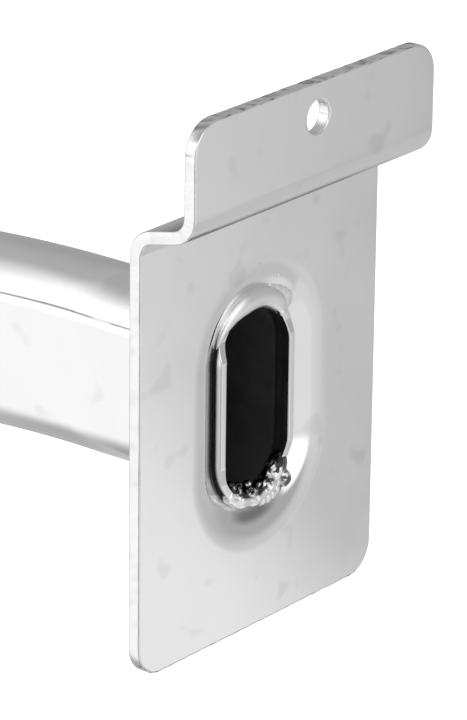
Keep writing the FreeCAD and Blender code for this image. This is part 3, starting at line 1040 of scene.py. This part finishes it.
# Nuggets in millimetres: across, out from the middle of the slot's end, towards the wall, radius.
# Across counts towards -X on the top weld and towards +X on the bottom one.
TOP_LOBE = ((2.6, 8.5, -0.4, 2.1), (4.1, 8.4, -0.4, 2.2), (5.4, 8.15, -0.4, 2.3), (6.6, 7.7, -0.4, 2.3),
            (7.6, 7.1, -0.4, 2.3), (7.5, 6.3, -0.4, 2.1), (7.2, 5.6, -0.4, 1.8))
TOP_DROP = (6.3, 4.7, 0.8, 0.7)
TOP_SPATTER = (4.7, 11.0, 1.2, 0.4)
TOP_NUGGETS = TOP_LOBE + (TOP_DROP, TOP_SPATTER)
BOTTOM_RIDGE = ((-2.6, 8.9, -0.35, 1.5), (-3.6, 8.8, -0.35, 1.55), (-4.6, 8.5, -0.35, 1.6),
                (-5.6, 8.1, -0.35, 1.6))
BOTTOM_INNER_ROW = ((4.7, 4.9, 0.2, 0.9), (2.7, 5.4, 0.1, 0.8), (0.7, 5.8, 0.1, 0.75), (-4.6, 5.6, 0.1, 0.9))
BOTTOM_CLUMP = ((-7.3, 7.1, 0.3, 1.45), (-6.4, 5.8, 0.1, 1.2), (-5.6, 6.9, 0.4, 1.0), (-6.4, 4.9, 0.6, 0.8))
BOTTOM_OUTER_ROW = ((-3.2, 6.3, 0.5, 0.75), (-1.0, 6.9, 0.4, 0.6), (1.2, 6.6, 0.6, 0.65),
                    (3.4, 6.0, 0.5, 0.8), (5.2, 5.6, 0.4, 0.7))
BOTTOM_BEADS = ((-2.2, 7.4, 0.9, 0.35), (0.2, 7.6, 0.9, 0.3), (2.4, 7.3, 0.9, 0.4), (4.2, 7.1, 0.8, 0.35))
BOTTOM_NUGGETS = BOTTOM_RIDGE + BOTTOM_INNER_ROW + BOTTOM_CLUMP + BOTTOM_OUTER_ROW + BOTTOM_BEADS
SLOT_ENDS = (("top", 1, TOP_WELD, TOP_NUGGETS), ("bottom", -1, BOTTOM_WELD, BOTTOM_NUGGETS))


def nugget_host(name, nuggets):
    """A mesh of loose points, each with the size of its nugget."""
    data = bpy.data.meshes.new(name)
    data.from_pydata([Vector(nugget[:3]) * MM for nugget in nuggets], [], [])
    sizes = data.attributes.new("size", "FLOAT", "POINT")
    for entry, nugget in zip(sizes.data, nuggets):
        entry.value = nugget[3] * MM
    return data


def build_weld(name, middle, up, values, nuggets, seed, tree):
    """A weld at one end of the slot; up is 1 for the top and -1 for the bottom."""
    piece = grow(name, tree, dict(values, Seed=seed), nugget_host(name + "_seat", nuggets))
    centre = Vector((middle, -WELD_DEPTH, up * HALF_STRAIGHT))
    # The tree's across becomes -X or +X, its out becomes up or down, and its height goes into the wall
    turn = Matrix(((-up, 0, 0), (0, 0, 1), (0, up, 0))).to_4x4()
    piece.data.transform(Matrix.Translation(centre) @ turn)
    give_back(opened(piece), piece)
    return piece


# Put the pieces together
weld_maker = weld_tree()
tube = build_tube("swept_rail_tube")
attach(tube, "root")
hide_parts("rail_tube")
for index, (side, middle) in enumerate(BRACKETS):
    plate = build_bracket(side + "_folded_bracket", middle)
    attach(plate, "root")
    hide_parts(side + "_bracket")
    for end, up, values, nuggets in SLOT_ENDS:
        weld_name = "%s_%s_weld" % (side, end)
        weld = build_weld(weld_name + "_bead", middle, up, values, nuggets, FIRST_SEED + index, weld_maker)
        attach(weld, "root")
        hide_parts(weld_name)


# The floor, which the camera sees as white with the rail's soft shadow on it
FLOOR_HEIGHT = -0.16
FLOOR_HALF = 12.0
FLOOR_TONE = 0.8
FLOOR_GLOW = 0.35


def build_floor():
    data = bpy.data.meshes.new("pale_floor")
    signs = ((-1, -1), (1, -1), (1, 1), (-1, 1))
    corners = [(x * FLOOR_HALF, y * FLOOR_HALF, FLOOR_HEIGHT) for x, y in signs]
    data.from_pydata(corners, [], [(0, 1, 2, 3)])
    floor = new_object("pale_floor", data)
    material = bpy.data.materials.new("pale_floor")
    wires = cleared(material)
    rays, mirrored = wires.mirrored()
    matt = wires.out("ShaderNodeBsdfDiffuse", {"Color": (FLOOR_TONE, FLOOR_TONE, FLOOR_TONE, 1)})
    glow = wires.out("ShaderNodeEmission", {"Color": (1, 1, 1, 1), "Strength": FLOOR_GLOW})
    lit = wires.out("ShaderNodeAddShader", {0: matt, 1: glow})
    shown = wires.out("ShaderNodeMixShader", {0: rays["Is Camera Ray"], 1: matt, 2: lit})
    clear = wires.out("ShaderNodeBsdfTransparent")
    whole = wires.out("ShaderNodeMixShader", {0: mirrored, 1: shown, 2: clear})
    wires.add("ShaderNodeOutputMaterial", {"Surface": whole})
    data.materials.append(material)


build_floor()

# The pale room that the chrome mirrors. Heights are (from, to) in degrees above the level.
# Directions are (compass, full within, gone beyond) in degrees: compass 0 is into the wall and 90 is +X.
# Depths are (from, to) of a way's share into the wall. Tones are the room's brightness, where 1 is white.
# A zone between heights begins over its FROM heights and ends over its TO heights.
FLATTEST = 0.001
SHADE_DEPTHS = (-0.62, -0.4)
SHADE_TONES = (0.48, 0.6)
END_HEIGHTS = (-31, -25)
END_DEPTHS = (0.45, 0.55)
END_TONE_DEPTHS = (0.54, 0.625)
END_TONES = (0.56, 0.8)
EDGE_HEIGHTS = (-20.2, -19.2)
EDGE_SHARE = 0.94
PATCH_SLANT = (0.9, -0.54)
PATCH_RANGE = (0.352, 0.388)
PATCH_HEIGHTS = (-27, -25)
PATCH_TONE = 0.96
WALL_DEPTHS = (0.605, 0.65)
WALL_TONE = 0.78
NEAR_HEIGHTS = (-52, -42)
NEAR_WAY = (-60, 60, 100)
NEAR_TONE = 0.88
DIM_WAY = (-131, 22, 48)
DIM_TONE = 0.4
OVER_TONE = 0.46
OVER_HEIGHTS = (-20, -5)
LAMP_WAY = (129, 40, 90)
TABLE_TONES = (0.85, 1.12)
UNDER_HEIGHTS = (-75, -38)
UNDER_TONE = 0.42
LIGHT_HEIGHTS = (-20, -13)
LIGHT_TONE = 1.3
BRIGHT_WAYS = ((91, 105, 113), (40, 98, 135))
CEILING_HEIGHTS = (24, 88)
CEILING_TONE = 0.5
GROUND_WAY = (45, 24, 36)
GROUND_FROM = (-62, -50)
GROUND_TO = (14, 26)
GROUND_TONE = 0.52
STAND_WAY = (54, 5, 9.5)
STAND_FROM = (-30, -26)
STAND_TO = (-18.5, -15.5)
STAND_TONE = 0.015
FILL_LEVEL = 0.85


class Room:
    """Zones of the room by the way in which a ray looks."""

    def __init__(self, wires):
        self.wires = wires
        way = wires.parts(wires.add("ShaderNodeTexCoord").outputs["Generated"])
        self.along, self.inward, self.rise = way
        flat = wires.math("SQRT", wires.math("SUBTRACT", 1.0, wires.times(self.rise, self.rise)))
        self.flat = wires.math("MAXIMUM", flat, FLATTEST)

    def towards(self, compass, near, far):
        """1 within near degrees of a compass direction, 0 beyond far."""
        across = self.wires.times(self.along, sin(radians(compass)))
        dot = self.wires.math("MULTIPLY_ADD", self.inward, cos(radians(compass)), across)
        share = self.wires.math("DIVIDE", dot, self.flat)
        return self.wires.span(share, cos(radians(far)), cos(radians(near)))

    def above(self, low, high):
        """0 below one height, 1 above the other."""
        return self.wires.span(self.rise, sin(radians(low)), sin(radians(high)))

    def beneath(self, low, high):
        """1 below one height, 0 above the other."""
        return self.wires.math("SUBTRACT", 1.0, self.above(low, high))


def grey_half(room):
    """The wall side and the table's shaded end, darker in front of the rail."""
    wires = room.wires
    below = wires.span(room.inward, *SHADE_DEPTHS, *SHADE_TONES)
    table_end = wires.times(room.above(*END_HEIGHTS), wires.span(room.inward, *END_DEPTHS))
    table_tone = wires.span(room.inward, *END_TONE_DEPTHS, *END_TONES)
    table_tone = wires.times(table_tone, wires.mix(room.above(*EDGE_HEIGHTS), 1.0, EDGE_SHARE))
    below = wires.mix(table_end, below, table_tone)
    # Paler patch of table that the foot of each plate mirrors
    slant = wires.math("SUBTRACT", wires.math("MULTIPLY_ADD", room.inward, *PATCH_SLANT), room.rise)
    patch = wires.times(wires.span(slant, *PATCH_RANGE), room.above(*PATCH_HEIGHTS))
    below = wires.mix(patch, below, PATCH_TONE)
    below = wires.mix(wires.span(room.inward, *WALL_DEPTHS), below, WALL_TONE)
    near_floor = wires.times(room.beneath(*NEAR_HEIGHTS), room.towards(*NEAR_WAY))
    below = wires.mix(near_floor, below, NEAR_TONE)
    over = wires.mix(room.towards(*DIM_WAY), OVER_TONE, DIM_TONE)
    return wires.mix(room.above(*OVER_HEIGHTS), below, over)


def bright_half(room):
    """The table under the lamps, then a wall of light up to the ceiling."""
    wires = room.wires
    table = wires.mix(room.towards(*LAMP_WAY), *TABLE_TONES)
    table = wires.mix(room.beneath(*UNDER_HEIGHTS), table, UNDER_TONE)
    return wires.mix(room.above(*LIGHT_HEIGHTS), table, LIGHT_TONE)


def zone(room, way, lowest, highest):
    """1 towards a direction between two heights."""
    between = room.wires.times(room.above(*lowest), room.beneath(*highest))
    return room.wires.times(room.towards(*way), between)


def build_world():
    world = bpy.data.worlds.new("pale_studio")
    bpy.context.scene.world = world
    wires = cleared(world)
    room = Room(wires)
    bright = wires.times(*[room.towards(*way) for way in BRIGHT_WAYS])
    tone = wires.mix(bright, grey_half(room), bright_half(room))
    tone = wires.mix(room.above(*CEILING_HEIGHTS), tone, CEILING_TONE)
    # Grey ground behind the wall, where only the plates' backs look
    tone = wires.mix(zone(room, GROUND_WAY, GROUND_FROM, GROUND_TO), tone, GROUND_TONE)
    # Dark place where the camera stands
    tone = wires.mix(zone(room, STAND_WAY, STAND_FROM, STAND_TO), tone, STAND_TONE)
    rays, mirrored = wires.mirrored()
    level = wires.mix(rays["Is Camera Ray"], FILL_LEVEL, 1.0)
    level = wires.mix(mirrored, level, tone)
    sky = wires.out("ShaderNodeBackground", {"Color": (1, 1, 1, 1), "Strength": level})
    wires.add("ShaderNodeOutputWorld", {"Surface": sky})


build_world()

# One soft lamp overhead, for the floor's shadow
LAMP_LENGTH = 1.4
LAMP_WIDTH = 1.0
LAMP_POWER = 14
LAMP_PLACE = (0.1, -0.1, 1.5)


def build_lamp():
    data = bpy.data.lights.new("soft_top_lamp", "AREA")
    data.shape = "RECTANGLE"
    data.size = LAMP_LENGTH
    data.size_y = LAMP_WIDTH
    data.energy = LAMP_POWER
    lamp = new_object("soft_top_lamp", data)
    lamp.location = LAMP_PLACE
    lamp.visible_glossy = False


build_lamp()

# Camera, placed as the photograph was taken: behind the left bracket, above it and to its right
VIEW_ROUND = radians(51.217)
VIEW_DOWN = radians(21.19)
VIEW_ROLL = radians(0.69)
VIEW_DISTANCE = 674.65 * MM
AIM = Vector((-HALF_SPACING + 1.461 * MM, -3.938 * MM, 6.163 * MM))
LENS = 230.69
SENSOR = 36.0
NEAREST = 0.01
FARTHEST = 60


def build_camera():
    data = bpy.data.cameras.new("photo_camera")
    data.lens = LENS
    data.sensor_width = SENSOR
    data.clip_start = NEAREST
    data.clip_end = FARTHEST
    camera = new_object("photo_camera", data)
    back = Vector((sin(VIEW_ROUND) * cos(VIEW_DOWN), cos(VIEW_ROUND) * cos(VIEW_DOWN), sin(VIEW_DOWN)))
    camera.location = AIM + back * VIEW_DISTANCE
    camera.rotation_mode = "QUATERNION"
    camera.rotation_quaternion = (-back).to_track_quat("-Z", "Y") @ Quaternion((0, 0, 1), VIEW_ROLL)
    bpy.context.scene.camera = camera


build_camera()
bpy.context.scene.view_settings.view_transform = "Standard"
